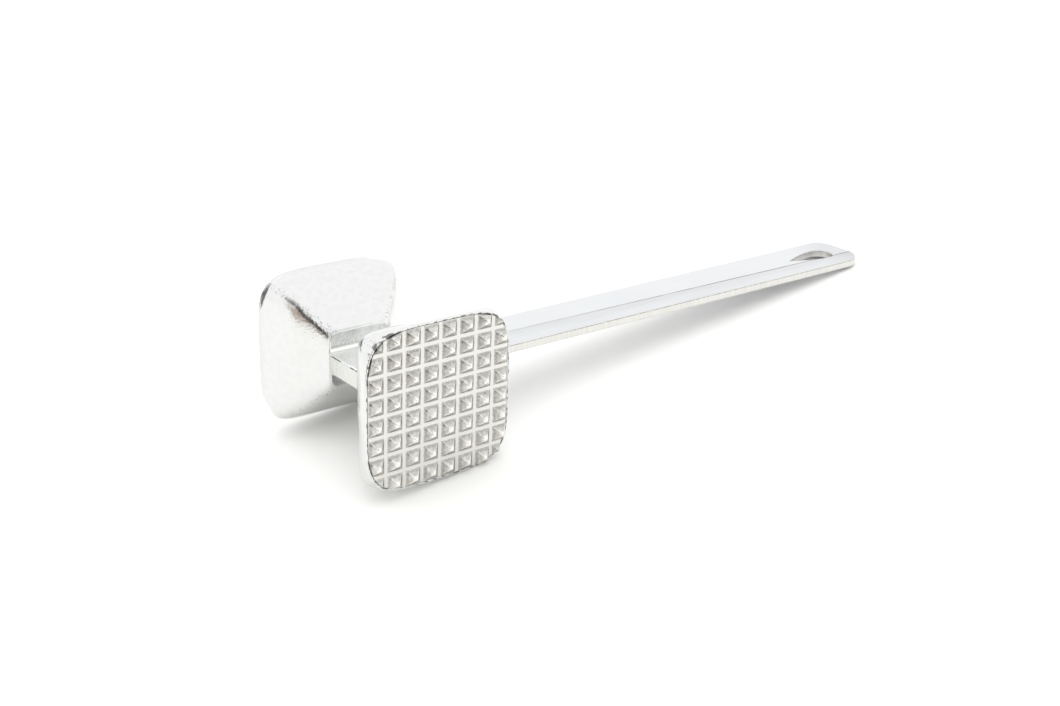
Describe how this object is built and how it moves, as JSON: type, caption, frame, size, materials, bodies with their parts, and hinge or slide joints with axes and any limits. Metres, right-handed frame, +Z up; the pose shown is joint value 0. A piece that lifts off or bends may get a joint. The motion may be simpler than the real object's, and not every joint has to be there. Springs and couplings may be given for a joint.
{
  "type": "meat mallet",
  "caption": "Cast aluminium meat mallet: a flat bar handle with a hanging hole, and a flared head with a toothed face and a smooth face.",
  "frame": {"origin": "bottom centre of the bounding box of the mallet at rest, on the surface it lies on", "axes": "+Z up from the surface it lies on, +X from the head towards the handle's end, +Y from the toothed face to the smooth face"},
  "size_m": [0.2418, 0.0676, 0.0529],
  "materials": {
    "satin_polished_aluminium": "belt polished to a satin",
    "polished_cast_aluminium": "tumble polished casting, bright with a slight ripple",
    "satin_cast_aluminium": "satin as cast",
    "zinc_plated_steel": "bright zinc plate"
  },
  "bodies": {
    "root": {"handle_bar": "satin_polished_aluminium", "hub": "polished_cast_aluminium", "front_bell": "polished_cast_aluminium", "back_bell": "polished_cast_aluminium", "tooth_plate": "satin_cast_aluminium", "pounding_plate": "satin_polished_aluminium", "front_bell_screw": "zinc_plated_steel", "back_bell_screw": "zinc_plated_steel", "inner_tang_pin": "zinc_plated_steel", "outer_tang_pin": "zinc_plated_steel"}
  },
  "joints": []
}
